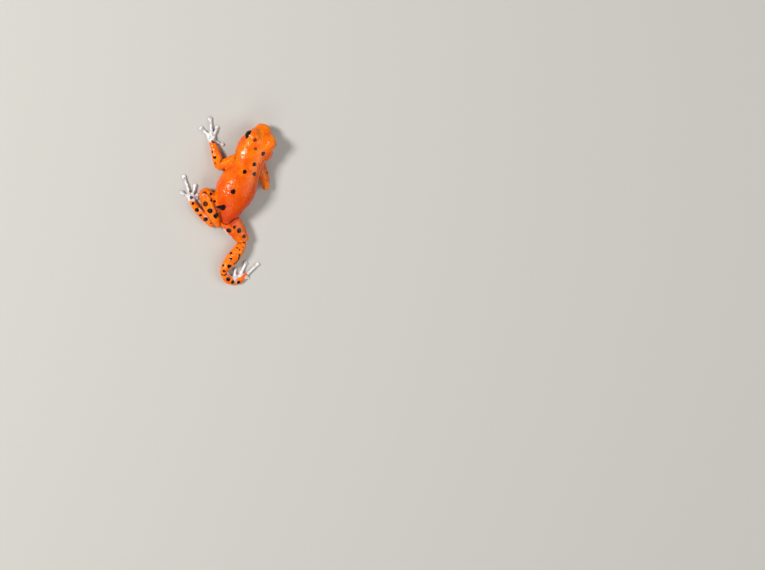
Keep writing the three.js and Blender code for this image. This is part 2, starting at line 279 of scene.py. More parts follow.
# Palms and soles are limb rows. A finger or toe is three places from root to tip, and its girth is a share of
# digitShape. It is pale from its own share of the length on, and the palm from row palePalm on.
hands = {
    "leftHand": {
        "palm": [
            (8.1, 13.4, 0.5, 0.56, 0.42), (8.42, 14.05, 0.44, 0.86, 0.46), (8.66, 14.6, 0.34, 0.76, 0.34),
        ],
        "digits": [
            [(8.05, 13.95), (7.0, 13.65), (5.78, 13.6)], [(8.3, 14.35), (8.0, 15.2), (7.98, 16.1)],
            [(8.6, 14.5), (9.05, 15.7), (9.85, 17.2)], [(8.85, 14.2), (9.7, 14.5), (10.75, 14.9)],
        ],
        "girth": (0.88, 1, 1, 1),
        "paleAndHighlight": (0, 0, 0, 0),
        "palePalm": 1,
    },
    "rightHand": {
        "palm": [
            (-2.75, 13.3, 0.44, 0.5, 0.4), (-2.35, 13.95, 0.38, 0.78, 0.4), (-2.05, 14.5, 0.32, 0.7, 0.34),
        ],
        "digits": [
            [(-2.0, 13.9), (-1.2, 14.3), (-0.4, 14.5)], [(-1.9, 14.3), (-1.4, 15.2), (-0.95, 16.0)],
            [(-2.1, 14.4), (-2.0, 15.6), (-1.95, 16.95)], [(-2.4, 14.2), (-2.75, 15.1), (-3.05, 16.1)],
        ],
        "girth": (0.88, 1, 1, 1),
        "paleAndHighlight": (0, 0, 0, 0),
        "palePalm": 1,
    },
    "leftFoot": {
        "palm": [
            (7.3, 1.72, 0.47, 0.56, 0.44), (7.75, 2.2, 0.42, 0.7, 0.42), (8.15, 2.7, 0.34, 0.62, 0.34),
        ],
        "digits": [
            [(7.4, 2.1), (6.95, 2.3), (6.5, 2.5)], [(7.6, 2.3), (7.15, 2.75), (6.75, 3.15)],
            [(7.85, 2.6), (7.7, 3.6), (7.85, 4.6)], [(8.2, 2.5), (9.1, 3.8), (10.5, 5.4)],
            [(8.05, 2.1), (8.8, 2.25), (9.75, 2.6)],
        ],
        "girth": (0.75, 0.9, 1, 1, 1),
        "paleAndHighlight": (0.1, 0.1, 0.1, 0.1, 0.1),
        "palePalm": 2,
    },
    "rightFoot": {
        "palm": [
            (-6.0, -9.42, 0.5, 0.84, 0.48), (-7.0, -8.8, 0.46, 0.93, 0.46), (-8.15, -7.6, 0.36, 0.44, 0.34),
        ],
        "digits": [
            [(-6.5, -8.95), (-6.15, -8.85), (-5.85, -8.75)],
            [(-6.1, -8.75), (-5.78, -8.05), (-5.62, -7.35)], [(-6.8, -8.3), (-6.95, -7.1), (-7.1, -5.6)],
            [(-7.9, -7.8), (-8.7, -6.35), (-9.45, -4.95)], [(-7.6, -8.3), (-8.2, -8.25), (-8.75, -8.0)],
        ],
        "girth": (0.75, 0.9, 1, 0.95, 0.65),
        "paleAndHighlight": (0.7, 0.2, 0.45, 0.3, 0.65),
        "palePalm": 3,
    },
}

# A finger or toe is a thin rod that lies on the floor, with a pad on its tip, in mm
digitShape = {
    "up": (0.36, 0.38, 0.28),  # from root to tip
    "half": (0.33, 0.28, 0.25),
    "caps": (0.2, 0.15),
    "around": 16,
    "steps": 20,
    "padHalf": (0.47, 0.45, 0.29),
    "padUp": 0.22,
    "padNet": (24, 14),  # faces round it and from pole to pole
    "palmCaps": (0.3, 0.3),
}

# All in mm. A mound and a lid are oval balls, measured from the eye's middle.
head = {
    "middle": 0.013 * snoutVent,  # left of the vent
    "eyeApart": 2.12,  # from the middle of the head
    "eyeAhead": 16.98,
    "eyeUp": 3.5,
    "mound": {"inward": 0.45, "up": 0.1, "half": (1.3, 1.6, 1.45)},
    "lid": {"inward": 0.36, "up": 0.5, "half": (1.22, 1.38, 1.08)},
}


def limbRows(rows):
    # Rows for carryProfile, as high over their centres as under them
    return [(*at(left, ahead, up), side, high, high) for left, ahead, up, side, high in rows]


def bodyRows():
    # Rows for carryProfile, with each centre at the height of the widest line
    rows = []
    for row in body["rows"]:
        ahead, left, half, back, belly, widest = (share * snoutVent for share in row)
        rows.append((*at(left, ahead, widest), half, back - widest, widest - belly))
    return rows


def digitForms(points, girth):
    # A rod through the three places, and a flat oval ball for the pad
    shape = digitShape
    rod = [
        (left, ahead, up, half * girth, half * girth)
        for (left, ahead), up, half in zip(points, shape["up"], shape["half"])
    ]
    pad = np.array(shape["padHalf"]) * girth
    return [
        carryProfile(limbRows(rod), around=shape["around"], steps=shape["steps"], caps=shape["caps"]),
        ovalBall(at(*points[-1], shape["padUp"] * girth), pad, *shape["padNet"]),
    ]


def buildForms():
    # Every form is a closed surface that overlaps its neighbours
    bodySettings = {name: value for name, value in body.items() if name != "rows"}
    forms = [carryProfile(bodyRows(), **bodySettings)]
    forms += [carryProfile(limbRows(rows)) for rows in limbs.values()]
    for hand in hands.values():
        forms.append(carryProfile(limbRows(hand["palm"]), caps=digitShape["palmCaps"]))
        for points, girth in zip(hand["digits"], hand["girth"]):
            forms += digitForms(points, girth)
    for side in bothSides:
        for form in (head["mound"], head["lid"]):
            left = head["middle"] + side * (head["eyeApart"] - form["inward"])
            forms.append(ovalBall(at(left, head["eyeAhead"], head["eyeUp"] + form["up"]), form["half"]))
    return forms


def newPiece(name, points, faces):
    mesh = bpy.data.meshes.new(name)
    mesh.from_pydata(np.asarray(points).tolist(), [], faces)
    return addObject(name, mesh)


# One closed skin over all the forms: they are joined, then wrapped in a fine even net
skinNet = {
    "voxel": 0.128,  # mm between its points
    "settle": 2,  # rounds of smoothing
    "fill": 0.012,  # how much a crease fills in a round, away from the joins
    "fillRounds": 70,
    "fineAhead": 13.6,  # mm ahead of the vent, from where the net is twice as fine
    "fineHalf": 5,  # mm to either side of the origin
}


def wrapForms(forms):
    points, faces, count = [], [], 0
    for formPoints, formFaces in forms:
        points.append(formPoints)
        faces += [[corner + count for corner in face] for face in formFaces]
        count += len(formPoints)
    rough = newPiece("rough", np.vstack(points), faces)
    wrap = rough.modifiers.new("wrap", "REMESH")
    wrap.mode = "VOXEL"
    wrap.voxel_size = skinNet["voxel"]
    wrapped = bpy.data.meshes.new_from_object(rough.evaluated_get(bpy.context.evaluated_depsgraph_get()))
    bpy.data.objects.remove(rough)
    return wrapped


def readArray(items, name, width, kind):
    values = np.empty(len(items) * width, kind)
    items.foreach_get(name, values)
    return values.reshape(-1, width)


class Net:
    # The skin's points as one array, with its edges and triangles

    def __init__(self, mesh):
        self.mesh = mesh
        mesh.calc_loop_triangles()
        self.points = readArray(mesh.vertices, "co", 3, float)
        self.edges = readArray(mesh.edges, "vertices", 2, int)
        self.triangles = readArray(mesh.loop_triangles, "vertices", 3, int)
        self.degree = np.bincount(self.edges.ravel(), minlength=len(self.points))

    def sumOf(self, toFirst, toSecond):
        # What an edge gives to the points at its two ends, added up at each point
        a, b = self.edges.T
        count = len(self.degree)
        return np.bincount(a, toFirst, count) + np.bincount(b, toSecond, count)

    def meanOf(self, values):
        # The mean over each point's neighbours
        a, b = self.edges.T
        return self.sumOf(values[b], values[a]) / self.degree

    def fromMean(self):
        # The way from each point to the middle of its neighbours
        middle = np.stack([self.meanOf(self.points[:, k]) for k in range(3)], axis=1)
        return middle - self.points

    def normals(self):
        a, b, c = (self.points[self.triangles[:, k]] for k in range(3))
        flat = np.cross(b - a, c - a)
        total = [
            sum(np.bincount(self.triangles[:, k], flat[:, axis], len(self.points)) for k in range(3))
            for axis in range(3)
        ]
        return units(np.stack(total, axis=1))

    def settle(self, times):
        # Each time every point moves halfway to the mean of its neighbours
        for _ in range(times):
            self.points += 0.5 * self.fromMean()

    def fillCreases(self, times, weight):
        # A point in a crease moves out towards its neighbours, and none moves in
        for _ in range(times):
            out = self.normals()
            rise = np.maximum(dots(self.fromMean(), out), 0)
            self.points += out * (rise * weight)[:, None]

    def store(self):
        self.mesh.vertices.foreach_set("co", self.points.ravel())
        self.mesh.update()


def evenOut(net, values, rounds):
    # Each round moves every value halfway to the mean of its neighbours
    for _ in range(rounds):
        values = 0.5 * values + 0.5 * net.meanOf(values)
    return values


def bendField(net, low, high, rounds):
    # 0 where the skin is flat or swells, up to 1 where it is hollow. The bounds are in 1/mm.
    a, b = net.edges.T
    squares = ((net.points[a] - net.points[b]) ** 2).sum(axis=1)
    bend = dots(net.fromMean(), net.normals()) / (net.sumOf(squares, squares) / net.degree)
    return ramp(low, high, evenOut(net, bend, rounds))


def outsideForm(points, rows, cap, steps=40):
    # How far points lie outside a carried profile, in mm, seen from the nearest of its centres
    rows = throughRows(rows, steps)
    forward = units(np.gradient(rows[:, :3], axis=0))
    apart = (points**2).sum(axis=1)[:, None] - 2 * points @ rows[:, :3].T + (rows[:, :3] ** 2).sum(axis=1)
    nearest = apart.argmin(axis=1)
    away, ahead = points - rows[nearest, :3], forward[nearest]
    side = units(np.cross([0, 0, 1], ahead))
    lift = dots(away, np.cross(ahead, side))
    high = np.where(lift > 0, rows[nearest, 4], rows[nearest, 5])
    across = dots(away, side) / rows[nearest, 3]
    along = dots(away, ahead) / cap
    reach = np.sqrt(across**2 + (lift / high) ** 2 + along**2)
    return np.linalg.norm(away, axis=1) * (1 - 1 / reach)


# Where two lengths of the body press on each other the skin folds in, and painted shade darkens the fold
folds = {
    "near": (0.34, 0.06),  # mm outside the second nearest length
    "bend": (-0.05, 0.3),  # hollows in 1/mm, from none to full
    "rounds": 10,
    "depth": 0.16,  # mm
    "limbCap": 0.6,  # mm
    "darkBend": (0.5, 2.0),  # hollows that get painted shade by themselves
    "darkRounds": (8, 4),
    "dark": (0.4, 1.0),
    "offEyes": (2.6, 3.4),  # mm from an eye's middle
    "socket": (1.35, 1.15),  # mm, painted shade along the edge of the eye itself
}


def foldField(net):
    # From 0 to 1: deep where the second nearest length of the body is close and the skin is hollow
    outside = [outsideForm(net.points, bodyRows(), body["caps"][0])]
    outside += [outsideForm(net.points, limbRows(rows), folds["limbCap"]) for rows in limbs.values()]
    second = np.partition(np.array(outside), 1, axis=0)[1]
    return ramp(*folds["near"], second) * bendField(net, *folds["bend"], folds["rounds"])


def gap(points, place):
    return np.linalg.norm(points - place, axis=1)


# Where limbs and eyes flow into the body, as left, ahead, up, reach in mm, and strength
joins = [
    (1.9, 12.6, 2.2, 1.3, 0.5),
    (-1.6, 12.2, 2.2, 1.3, 0.5),
    (1.9, 16.9, 4.0, 2.4, 1.0),
    (-1.5, 16.9, 4.0, 2.4, 1.0),
    (-5.9, -9.4, 0.6, 0.8, 0.6),
    (8.0, 13.3, 0.6, 0.8, 0.8),
    (-2.8, 13.2, 0.5, 0.8, 0.8),
    (7.2, 1.6, 0.5, 0.7, 0.7),
    (8.45, 14.25, 0.4, 1.1, 0.6),
    (-2.1, 14.2, 0.4, 1.1, 0.6),
    (7.95, 2.4, 0.4, 1.0, 0.6),
    (-7.4, -8.1, 0.4, 0.9, 0.5),
]
joinFade = (1.35, 0.75)  # shares of the reach between which a join grows to its full strength


def joinWeights(points):
    # The strongest join in reach, and skinNet's fill away from all of them
    weight = np.full(len(points), skinNet["fill"])
    for left, ahead, up, reach, strength in joins:
        near = strength * ramp(*joinFade, gap(points, at(left, ahead, up)) / reach)
        weight = np.maximum(weight, near)
    return weight


eyes = {
    "border": 56.0,  # degrees from the line of sight to the edge of the lids
    "edge": 8.0,  # degrees over which a lid rounds off
    "lidThick": 0.09,  # mm
    "sunk": 0.16,  # mm that the skin lies under the eyeball inside the opening
    "look": (0.98, -0.17, 0.0),  # out, ahead and up in the row's axes, for the left eye
    "stretch": (1.14, 0.92),  # the opening is longer than it is high
    "near": 1.9,  # the skin within this many radii belongs to the eye
    "foldOff": 24,  # degrees from the edge of the lids to the fold that runs round them
    "foldHalf": 5,  # degrees
    "foldDepth": 0.035,  # mm
    "foldEnds": (110, 90),  # degrees between which it fades out
    "corneaUp": 0.035,  # the swell over the middle of the ball, as a share of its radius
    "corneaHalf": 40,  # degrees
    "net": (96, 64),  # faces round the ball and from pole to pole
}


def eyePlace(side):
    # The middle of an eyeball and its radius, in mm, from the box of its solid
    low, high = (np.array(corner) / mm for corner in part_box("left_eye" if side > 0 else "right_eye"))
    return (low + high) / 2, float((high - low).mean() / 2)


def fromEyes(points):
    # Distance from each point to the nearer eye's middle, in mm
    return np.minimum(*(gap(points, eyePlace(side)[0]) for side in bothSides))


def eyeAxes(side):
    # The line of sight, and the directions along the eye's opening and across it
    out = unit(np.array(eyes["look"]) * [side, 1, 1])
    along = unit(np.cross([0, 0, 1], out))
    return out, along, np.cross(out, along)


def openLids(points):
    # By its angle from the line of sight, the skin lies under the ball in the opening, and over it outside
    for side in bothSides:
        centre, radius = eyePlace(side)
        out, along, lift = eyeAxes(side)
        away = points - centre
        distance = np.linalg.norm(away, axis=1)
        near = distance < radius * eyes["near"]
        way = away[near] / distance[near, None]
        wide, tall = eyes["stretch"]
        angle = np.degrees(np.arctan2(np.hypot(way @ along / wide, way @ lift / tall), way @ out))
        lid = np.maximum(distance[near], radius + eyes["lidThick"])
        under = np.minimum(distance[near], radius - eyes["sunk"])
        share = ramp(eyes["border"], eyes["border"] + eyes["edge"], angle)
        foldAndPaintedShade = eyes["foldDepth"] * bell(angle - eyes["border"] - eyes["foldOff"], eyes["foldHalf"])
        reach = under + (lid - under) * share - foldAndPaintedShade * ramp(*eyes["foldEnds"], angle)
        points[near] = centre + way * reach[:, None]


# All in mm, measured from the vent and the middle of the head
face = {
    "mouth": {
        "up": 2.02,
        "half": 0.1,
        "depth": 0.12,
        "corner": 14.9,
        "fade": (0.15, 0.25),  # behind the corner and ahead of it
        "drop": 0.1,  # from dropFrom back to the corner
        "dropFrom": 17.5,
        "flattest": 0.8,  # the normal's upright share, at most
        "lip": 0.035,  # how far the upper lip stands proud
        "lipUp": 2.2,  # in halves of the line
        "lipHalf": 1.3,
    },
    "nostril": {
        "apart": 0.72,
        "ahead": 19.35,
        "up": 2.98,
        "reach": 0.13,
        "depth": 0.14,
        "rim": 0.03,
        "rimReach": 0.27,
        "rimHalf": 0.08,
    },
    "drum": {
        "ahead": 14.95,
        "up": 2.8,
        "reach": 0.52,
        "rim": 0.05,
        "rimHalf": 0.1,
        "hollow": 0.05,
        "hollowFrom": 0.15,
        "beyond": 1.8,  # from the middle of the head, at least
        "facing": 0.35,  # the normal's share to the side, at least
    },
}


def shapeFace(net):
    # The line of the mouth, the nostrils and the eardrums are bell-shaped hollows and rims along the normals
    mouth, nostril, drum = face["mouth"], face["nostril"], face["drum"]
    points, out = net.points, net.normals()
    ahead = bellyAhead - points[:, 1]
    left = points[:, 0] + bellyLeft - head["middle"]
    height = mouth["up"] - mouth["drop"] * ramp(mouth["dropFrom"], mouth["corner"], ahead)
    behind, before = mouth["fade"]
    inHead = ramp(mouth["corner"] - behind, mouth["corner"] + before, ahead)
    inHead *= np.abs(out[:, 2]) < mouth["flattest"]
    line = (points[:, 2] - height) / mouth["half"]
    move = -mouth["depth"] * bell(line, 1) * inHead
    move += mouth["lip"] * bell(line - mouth["lipUp"], mouth["lipHalf"]) * inHead
    flat = np.hypot(ahead - drum["ahead"], points[:, 2] - drum["up"])
    for side in bothSides:
        away = gap(points, at(head["middle"] + side * nostril["apart"], nostril["ahead"], nostril["up"]))
        move -= nostril["depth"] * bell(away, nostril["reach"])
        move += nostril["rim"] * bell(away - nostril["rimReach"], nostril["rimHalf"])
        beside = (left * side > drum["beyond"]) & (np.abs(out[:, 0]) > drum["facing"])
        ring = drum["rim"] * bell(flat - drum["reach"], drum["rimHalf"])
        move += beside * (ring - drum["hollow"] * ramp(drum["reach"], drum["hollowFrom"], flat))
    net.points += out * move[:, None]


# Low swells keep any form from being a perfect oval
swells = {"height": 0.022, "offFloor": (0.5, 1.5), "offEyes": (1.3, 1.9)}  # mm


def loosenSkin(net):
    # Swell = the product of two slanted sines 3.5 and 4 mm long, plus 0.6 of a third one 1.6 mm long
    points, out = net.points, net.normals()
    x, y, z = points.T
    swell = np.sin(1.7 * x + 0.6 * y + 1) * np.sin(1.3 * y - 0.9 * z) + 0.6 * np.sin(3.1 * y + 2.3 * x - z)
    free = ramp(*swells["offFloor"], z) * ramp(*swells["offEyes"], fromEyes(points))
    net.points += out * (swells["height"] * swell * free)[:, None]


# Granules stand close over the back, the flanks and the upper sides of the limbs
granules = {
    "apart": 0.44,  # mm, coarser than life so that they show
    "up": 0.034,  # mm
    "dome": (0.66, 0.1),  # shares of apart, from the foot of a granule to its top
    "table": 4096,  # random places, used again and again
    "spread": (73856093, 19349663, 83492791),  # spread neighbouring cells over the table
    "seed": 3,
    "facing": (-0.2, 0.35),  # the normal's upright share
    "offEyes": (1.25, 1.7),  # mm
    "offFloor": (0.3, 0.9),  # mm
    "offPale": (0.5, 0.0),
    "snout": (16.5, 18.5),  # mm ahead of the vent, between which they sink
    "snoutLoss": 0.5,
}


def granuleField(points):
    # One dome in each cell of a cubic lattice, set off its middle at random: 1 on its top and 0 between domes
    offsets = np.random.default_rng(granules["seed"]).random((granules["table"], 3))
    scaled = points / granules["apart"]
    cell = np.floor(scaled).astype(np.int64)
    nearest = np.full(len(points), np.inf)
    for step in np.ndindex(3, 3, 3):
        other = cell + np.array(step) - 1
        spread = other * np.array(granules["spread"])
        mixed = spread[:, 0] ^ spread[:, 1] ^ spread[:, 2]
        middle = other + offsets[mixed % granules["table"]]
        nearest = np.minimum(nearest, np.linalg.norm(scaled - middle, axis=1))
    return ramp(*granules["dome"], nearest)


def grainSkin(net, paleAndHighlight):
    # Granules rise along the normals, but not near the eyes or the floor, underneath, or on pale skin
    points, out = net.points, net.normals()
    free = ramp(*granules["facing"], out[:, 2])
    free *= ramp(*granules["offEyes"], fromEyes(points))
    free *= ramp(*granules["offPale"], paleAndHighlight)
    free *= ramp(*granules["offFloor"], points[:, 2])
    free *= 1 - granules["snoutLoss"] * ramp(*granules["snout"], bellyAhead - points[:, 1])
    net.points += out * (granules["up"] * granuleField(points) * free)[:, None]


def refineHead(mesh):
    # The head gets a net twice as fine
    work = bmesh.new()
    work.from_mesh(mesh)
    limit = bellyAhead - skinNet["fineAhead"]
    inHead = lambda corner: corner.co.y < limit and abs(corner.co.x) < skinNet["fineHalf"]
    edges = [edge for edge in work.edges if inHead(edge.verts[0]) and inHead(edge.verts[1])]
    bmesh.ops.subdivide_edges(work, edges=edges, cuts=1, use_grid_fill=True)
    work.to_mesh(mesh)
    work.free()


# The black spots that the photograph shows, each as a pixel, a radius in mm and a strength
seenSpots = {
    "back": [
        (254.4, 164.4, 0.4, 1), (244.6, 171.9, 0.4, 1), (254.3, 174.1, 0.42, 1), (233.1, 191.6, 0.48, 1),
        (222.3, 207.8, 0.54, 1), (224.2, 206.4, 0.36, 1), (218, 207, 0.34, 1), (220.2, 207.5, 0.36, 1),
    ],
    "head": [(263.1, 153.8, 0.4, 1), (255.6, 148.8, 0.33, 0.7), (255.1, 140, 0.37, 0.8)],
    "leftArm": [(212.5, 152, 0.26, 0.9), (214.6, 157.4, 0.3, 1), (215.2, 163, 0.2, 0.7)],
    "leftHand": [(212.5, 126.6, 0.16, 0.6), (212.7, 131, 0.16, 0.6), (211.9, 121, 0.12, 0.5)],
    "leftThigh": [
        (211, 193.8, 0.3, 1), (211.3, 200.3, 0.3, 1), (214.5, 201.5, 0.26, 1), (199, 193.4, 0.22, 0.8),
        (206.3, 187.4, 0.12, 0.7),
    ],
    "leftShank": [
        (205.3, 204, 0.54, 0.9), (209.9, 210.9, 0.54, 1), (216.2, 215.7, 0.56, 1), (201.6, 201.5, 0.2, 0.5),
    ],
    "leftTarsus": [
        (191.4, 197.4, 0.32, 0.9), (192.8, 203.5, 0.28, 1), (196.8, 210, 0.4, 1), (200.4, 215, 0.28, 1),
        (205.6, 219.5, 0.44, 1), (210.5, 223.5, 0.2, 0.8),
    ],
    "leftFoot": [
        (184.4, 178.1, 0.16, 0.6), (186.8, 182.7, 0.16, 0.6), (188.6, 186.8, 0.17, 0.7),
        (189.9, 191.4, 0.2, 0.7), (184.6, 195.2, 0.14, 0.5),
    ],
    "rightThigh": [
        (228.8, 230.5, 0.5, 1), (234.5, 227, 0.33, 1), (239.3, 230.6, 0.46, 1), (244, 236.4, 0.38, 1),
    ],
    "rightShank": [
        (237.1, 248.2, 0.22, 0.8), (239.4, 249.8, 0.22, 0.8), (242.8, 247.5, 0.17, 0.6),
        (231, 253.2, 0.28, 1), (230.8, 258.7, 0.28, 1), (223.1, 265.3, 0.26, 1), (229.2, 266.4, 0.42, 1),
        (224, 271.2, 0.3, 1),
    ],
    "rightTarsus": [(228.3, 279.2, 0.44, 1), (232.8, 281.9, 0.38, 1), (238.6, 282.4, 0.34, 1)],
    "rightArm": [(267, 173, 0.24, 0.9)],
}

# Black spots at random on skin that the photograph doesn't show
unseenSpots = {
    "count": 44,
    "apart": 1.8,  # mm between their middles, and from the seen ones
    "radius": (0.2, 0.4),  # mm
    "seed": 7,
    "turned": -0.02,  # the normal's share towards the camera, at most
    "facing": -0.6,  # the normal's upright share, at least
    "offFloor": 0.55,  # mm
    "offEyes": 2.0,  # mm
    "before": 18.6,  # mm ahead of the vent
}
noSpot = -2.0  # mm, the value far from every spot

# Black bands, two of them painted shade in creases, and thin strips of pale skin, three of them painted
# highlights: the pixels along the middle, a half width in mm and a strength
blackAndCreaseShadeBands = {
    "rightShank": ([(239.6, 254.8), (239.2, 257.5), (238, 260.3), (236, 263), (234.2, 263.9)], 0.2, 1),
    "rightKnee": ([(243.3, 242.3), (245.1, 243.2), (246.9, 244.6)], 0.17, 1),
    "rightHeel": ([(219.9, 272.8), (221.5, 274.4), (224.2, 275.3), (226.7, 273.7)], 0.13, 1),
    # painted shade in the crease between the left thigh and shank
    "leftKneeCreaseShadeAndHighlight": ([(202.8, 193), (204.5, 192), (206.2, 193.4)], 0.16, 0.9),
    # painted shade in the crease between the rump and the right thigh
    "rumpCreaseShade": (
        [(221.5, 219.5), (223.2, 223.4), (226, 224.4), (229.5, 223.4), (232.5, 221.2), (235, 218.2)],
        0.13,
        0.75,
    ),
    "leftWrist": ([(212.2, 141.3), (214.4, 142.6)], 0.22, 0.9),
}
paleAndHighlightStrips = {
    "rightThigh": ([(224.2, 229.6), (227.4, 233.8), (231.2, 237)], 0.26, 0.7),
    "rightTarsus": ([(227.4, 272.5), (230.5, 275), (233.7, 277.8)], 0.13, 0.9),
    "rightAnkle": ([(234.4, 279), (235.8, 282.1), (235.2, 284.8)], 0.17, 0.9),
    "rightSole": ([(233.7, 277.8), (237.5, 276.6), (241.3, 275)], 0.27, 0.72),
    # the strips on the left knee, tarsus and heel are painted highlights in the pale colour
    "leftKneeCreaseShadeAndHighlight": ([(202.4, 195), (204.8, 194), (207, 196), (208.2, 199)], 0.12, 0.45),
    "leftTarsus": ([(199.4, 209), (201, 211.2)], 0.24, 0.55),
    "leftHeelHighlight": ([(204, 214.6), (206, 217), (208, 219.4)], 0.24, 0.5),
}


def castPixel(tree, x, y):
    # The place on the skin that the camera sees at a pixel
    hit = tree.ray_cast(Vector(eyePoint), Vector(sightLine(x, y)))[0]
    return None if hit is None else np.array(hit)


def castPath(tree, pixels):
    hits = [castPixel(tree, x, y) for x, y in pixels]
    return [hit for hit in hits if hit is not None]


def toPath(points, path):
    # Shortest distance from each point to a bent line
    best = np.full(len(points), np.inf)
    for start, end in zip(path[:-1], path[1:]):
        along = end - start
        share = np.clip((points - start) @ along / (along @ along), 0, 1)
        best = np.minimum(best, np.linalg.norm(points - start - share[:, None] * along, axis=1))
    return best


def addUnseen(net, spots):
    # Points of the unseen skin in a random order become spots when they are far enough from all others
    rule = unseenSpots
    draw = np.random.default_rng(rule["seed"])
    out = net.normals()
    turned = dots(out, eyePoint - net.points) / gap(net.points, eyePoint)
    unseen = (turned < rule["turned"]) & (out[:, 2] > rule["facing"]) & (net.points[:, 2] > rule["offFloor"])
    places = net.points[unseen]
    clear = (fromEyes(places) > rule["offEyes"]) & (bellyAhead - places[:, 1] < rule["before"])
    full = len(spots) + rule["count"]
    for place in places[draw.permutation(np.flatnonzero(clear))]:
        if len(spots) == full:
            break
        if all(np.linalg.norm(place - spotAndCreaseShade[0]) > rule["apart"] for spotAndCreaseShade in spots):
            spots.append((place, draw.uniform(*rule["radius"]), 1))


def spotField(net, tree):
    # For each point, how far inside its nearest spot or band it lies, in mm, and how strong that one is. Two
    # of the bands are painted shade in creases.
    seen = [(castPixel(tree, x, y), *rest) for group in seenSpots.values() for x, y, *rest in group]
    spots = [spotAndCreaseShade for spotAndCreaseShade in seen if spotAndCreaseShade[0] is not None]
    addUnseen(net, spots)
    print("spots", len(spots))
    marks = [(radius - gap(net.points, place), strength) for place, radius, strength in spots]
    for pixels, half, strength in blackAndCreaseShadeBands.values():
        marks.append((half - toPath(net.points, castPath(tree, pixels)), strength))
    field = np.full(len(net.points), noSpot)
    strengths = np.ones(len(net.points))
    for inside, strength in marks:
        nearer = inside > field
        field[nearer] = inside[nearer]
        strengths[nearer] = strength
    return field, strengths


# Pale skin and painted highlights fade out between two distances from the middle of a digit, a palm or a
# strip
paleSkinAndHighlight = {
    "reach": 6,  # mm from a palm's middle to beyond the tips of its digits
    "steps": 12,  # along a digit
    "digit": (0.95, 0.4),  # mm
    "palm": (1.25, 0.8),  # mm
    "strip": (1.6, 0.6),  # in its half widths
}


def paleAndHighlightField(points, tree):
    # The palest of all digits, palms and strips, from 0 to 1; the left leg's strips are painted highlights
    steps = paleSkinAndHighlight["steps"]
    paleAndHighlight = np.zeros(len(points))
    for hand in hands.values():
        near = gap(points, at(*hand["palm"][1][:3])) < paleSkinAndHighlight["reach"]
        for places, fromShare in zip(hand["digits"], hand["paleAndHighlight"]):
            path = throughRows([at(*place, up) for place, up in zip(places, digitShape["up"])], steps)
            path = path[round(steps * fromShare) :]
            paleAndHighlight[near] = np.maximum(paleAndHighlight[near], ramp(*paleSkinAndHighlight["digit"], toPath(points[near], path)))
        path = [at(*row[:3]) for row in hand["palm"][hand["palePalm"] :]]
        paleAndHighlight[near] = np.maximum(paleAndHighlight[near], ramp(*paleSkinAndHighlight["palm"], toPath(points[near], path)))
    outer, inner = paleSkinAndHighlight["strip"]
    for pixels, half, strength in paleAndHighlightStrips.values():
        strip = toPath(points, castPath(tree, pixels))
        paleAndHighlight = np.maximum(paleAndHighlight, strength * ramp(half * outer, half * inner, strip))
    return paleAndHighlight


# Where the skin belongs to a limb, in shares of snoutVent
limbEdge = {
    "outside": (-0.01, 0.025),  # of the body's own width
    "neck": (0.72, 0.66),  # ahead of the vent
    "vent": (0.02, -0.03),
}


def limbField(points):
    # 1 on the limbs and 0 on the body, from how far a point lies outside the body's rows
    ahead = (bellyAhead - points[:, 1]) / snoutVent
    left = (points[:, 0] + bellyLeft) / snoutVent
    place, middle, half = np.array(body["rows"]).T[:3]
    outside = np.abs(left - np.interp(ahead, place, middle)) - np.interp(ahead, place, half)
    beside = ramp(*limbEdge["outside"], outside) * ramp(*limbEdge["neck"], ahead)
    return np.maximum(beside, ramp(*limbEdge["vent"], ahead))


# The body turns from yellowish orange on the head to red orange on the rump, and painted shade darkens the
# right flank in the same red orange. The limbs keep the head's colour, but for the root of the right thigh.
redness = {
    "ahead": (0.0, 3.0, 8.0, 14.0, 18.0),  # mm
    "share": (1.0, 0.85, 0.5, 0.22, 0.0),
    "flankShade": (0.6, -3.0),  # mm to the left, between which the right flank's painted shade grows
    "flankAhead": (18, 13),
    "flankShare": 0.4,
    "limb": 0.12,
    "thighShare": 0.4,
    "thigh": (-1.8, 0.2, 1.8),
    "thighReach": (4.2, 1.5),
}
underside = {"facing": (-0.15, -0.75), "ahead": (-1.5, 0.5)}  # the normal's upright share, and mm


def rearField(points):
    # Along the body the share goes by the distance ahead, and painted shade on the right flank adds to it
    red = redness
    ahead = bellyAhead - points[:, 1]
    left = points[:, 0] + bellyLeft
    length = np.interp(ahead, red["ahead"], red["share"])
    flankShade = ramp(*red["flankShade"], left) * ramp(*red["flankAhead"], ahead) * red["flankShare"]
    limb = limbField(points)
    onLimb = red["limb"] + red["thighShare"] * ramp(*red["thighReach"], gap(points, at(*red["thigh"])))
    return np.clip((length + flankShade) * (1 - limb) + onLimb * limb, 0, 1)


def underField(net):
    # 1 where the skin of the body faces down
    ahead = bellyAhead - net.points[:, 1]
    return ramp(*underside["facing"], net.normals()[:, 2]) * ramp(*underside["ahead"], ahead)


def foldShade(net):
    # Painted shade in folds and sharp hollows, but not near an eye, apart from its own edge
    first, then = folds["darkRounds"]
    hollow = np.maximum(foldField(net), bendField(net, *folds["darkBend"], first))
    fromEye = fromEyes(net.points)
    allowed = np.maximum(ramp(*folds["offEyes"], fromEye), ramp(*folds["socket"], fromEye))
    return ramp(*folds["dark"], evenOut(net, hollow, then) * allowed)


def addAttribute(mesh, name, values):
    # One number for each point, which a material reads by its name
    attribute = mesh.attributes.new(name, "FLOAT", "POINT")
    attribute.data.foreach_set("value", np.asarray(values, np.float32))


